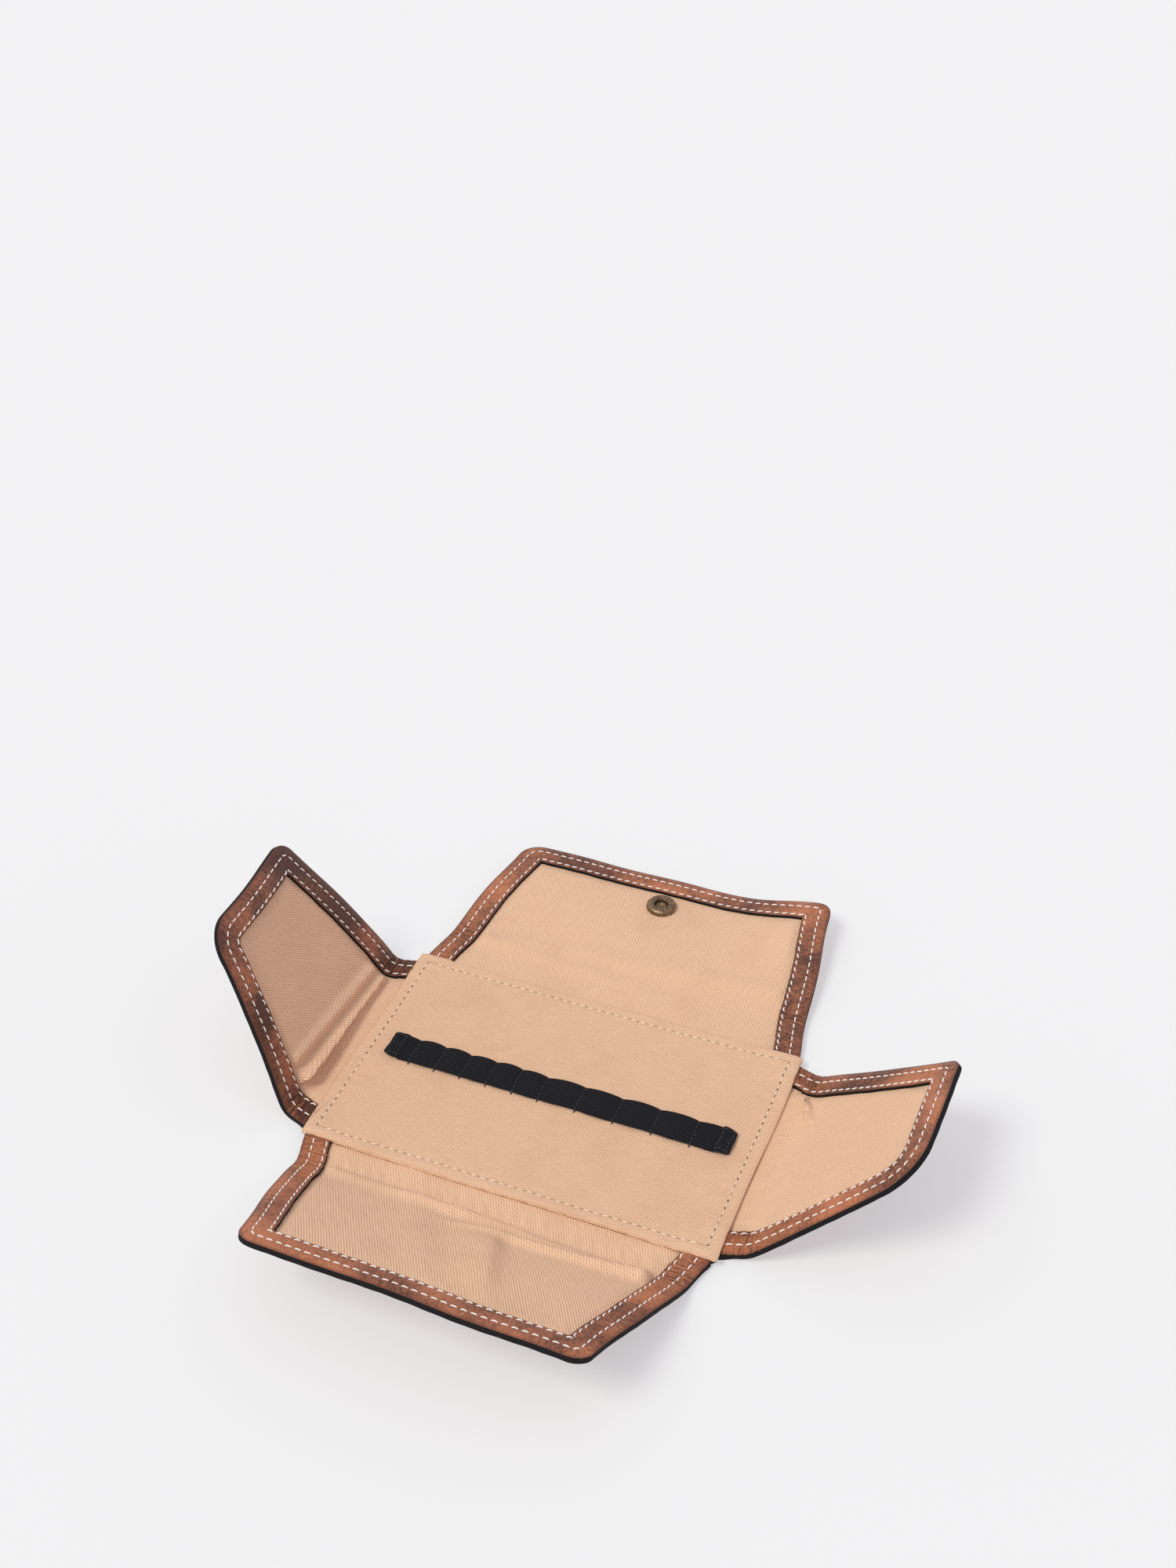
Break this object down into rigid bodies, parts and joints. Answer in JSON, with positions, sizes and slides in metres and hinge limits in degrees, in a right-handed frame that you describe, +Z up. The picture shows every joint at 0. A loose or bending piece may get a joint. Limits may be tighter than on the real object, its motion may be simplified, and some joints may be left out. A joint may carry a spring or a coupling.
{
  "type": "pencil case",
  "caption": "Fold-open pencil case: a leather and canvas base with an elastic loop band, and bordered flaps that fold over it and close with a snap.",
  "frame": {"origin": "middle of the underside of the base, on the surface it lies on", "axes": "+X along the long side of the base towards the right flap, +Y towards the rear flap with the snap socket, +Z up"},
  "size_m": [0.3217, 0.3093, 0.0802],
  "materials": {
    "outer_leather": "waxed, slightly worn",
    "border_leather": "waxed grain with dark painted edges",
    "canvas": "cotton twill",
    "elastic": "ribbed woven elastic",
    "antique_brass": "antique, satin"
  },
  "bodies": {
    "base": {"base_shell": "outer_leather", "base_lining": "canvas", "centre_panel": "canvas", "elastic_band": "elastic"},
    "rear_wall": {"rear_wall_shell": "outer_leather", "rear_wall_lining": "canvas", "rear_wall_strap_a": "border_leather", "rear_wall_strap_b": "border_leather"},
    "rear_flap": {"rear_flap_shell": "outer_leather", "rear_flap_lining": "canvas", "rear_flap_border": "border_leather", "snap_socket": "antique_brass", "snap_spring": "antique_brass", "snap_cap_post": "antique_brass", "snap_cap": "antique_brass"},
    "left_wall": {"left_wall_shell": "outer_leather", "left_wall_lining": "canvas", "left_wall_strap_a": "border_leather", "left_wall_strap_b": "border_leather"},
    "left_flap": {"left_flap_shell": "outer_leather", "left_flap_lining": "canvas", "left_flap_border": "border_leather"},
    "front_wall": {"front_wall_shell": "outer_leather", "front_wall_lining": "canvas", "front_wall_strap_a": "border_leather", "front_wall_strap_b": "border_leather"},
    "front_flap": {"front_flap_shell": "outer_leather", "front_flap_lining": "canvas", "front_flap_border": "border_leather", "snap_stud": "antique_brass", "snap_stud_rivet": "antique_brass"},
    "right_wall": {"right_wall_shell": "outer_leather", "right_wall_lining": "canvas", "right_wall_strap_a": "border_leather", "right_wall_strap_b": "border_leather"},
    "right_flap": {"right_flap_shell": "outer_leather", "right_flap_lining": "canvas", "right_flap_border": "border_leather"}
  },
  "joints": [
    {"name": "rear_wall_lift", "type": "hinge", "parent": "base", "child": "rear_wall", "pos_m": [0, 0.0615, 0.0043], "axis": [1, 0, 0], "range_deg": [0, 90]},
    {"name": "rear_flap_fold", "type": "hinge", "parent": "rear_wall", "child": "rear_flap", "pos_m": [0, 0.083, 0.0043], "axis": [1, 0, 0], "range_deg": [0, 78]},
    {"name": "left_wall_lift", "type": "hinge", "parent": "base", "child": "left_wall", "pos_m": [-0.095, 0, 0.0043], "axis": [0, 1, 0], "range_deg": [0, 90]},
    {"name": "left_flap_fold", "type": "hinge", "parent": "left_wall", "child": "left_flap", "pos_m": [-0.105, 0, 0.0043], "axis": [0, 1, 0], "range_deg": [-58, 31]},
    {"name": "front_wall_lift", "type": "hinge", "parent": "base", "child": "front_wall", "pos_m": [0, -0.0615, 0.0043], "axis": [-1, 0, 0], "range_deg": [0, 90]},
    {"name": "front_flap_fold", "type": "hinge", "parent": "front_wall", "child": "front_flap", "pos_m": [0, -0.0765, 0.0043], "axis": [-1, 0, 0], "range_deg": [-24, 61]},
    {"name": "right_wall_lift", "type": "hinge", "parent": "base", "child": "right_wall", "pos_m": [0.095, 0, 0.0043], "axis": [0, -1, 0], "range_deg": [0, 90]},
    {"name": "right_flap_fold", "type": "hinge", "parent": "right_wall", "child": "right_flap", "pos_m": [0.105, 0, 0.0043], "axis": [0, -1, 0], "range_deg": [-37, 50]}
  ]
}
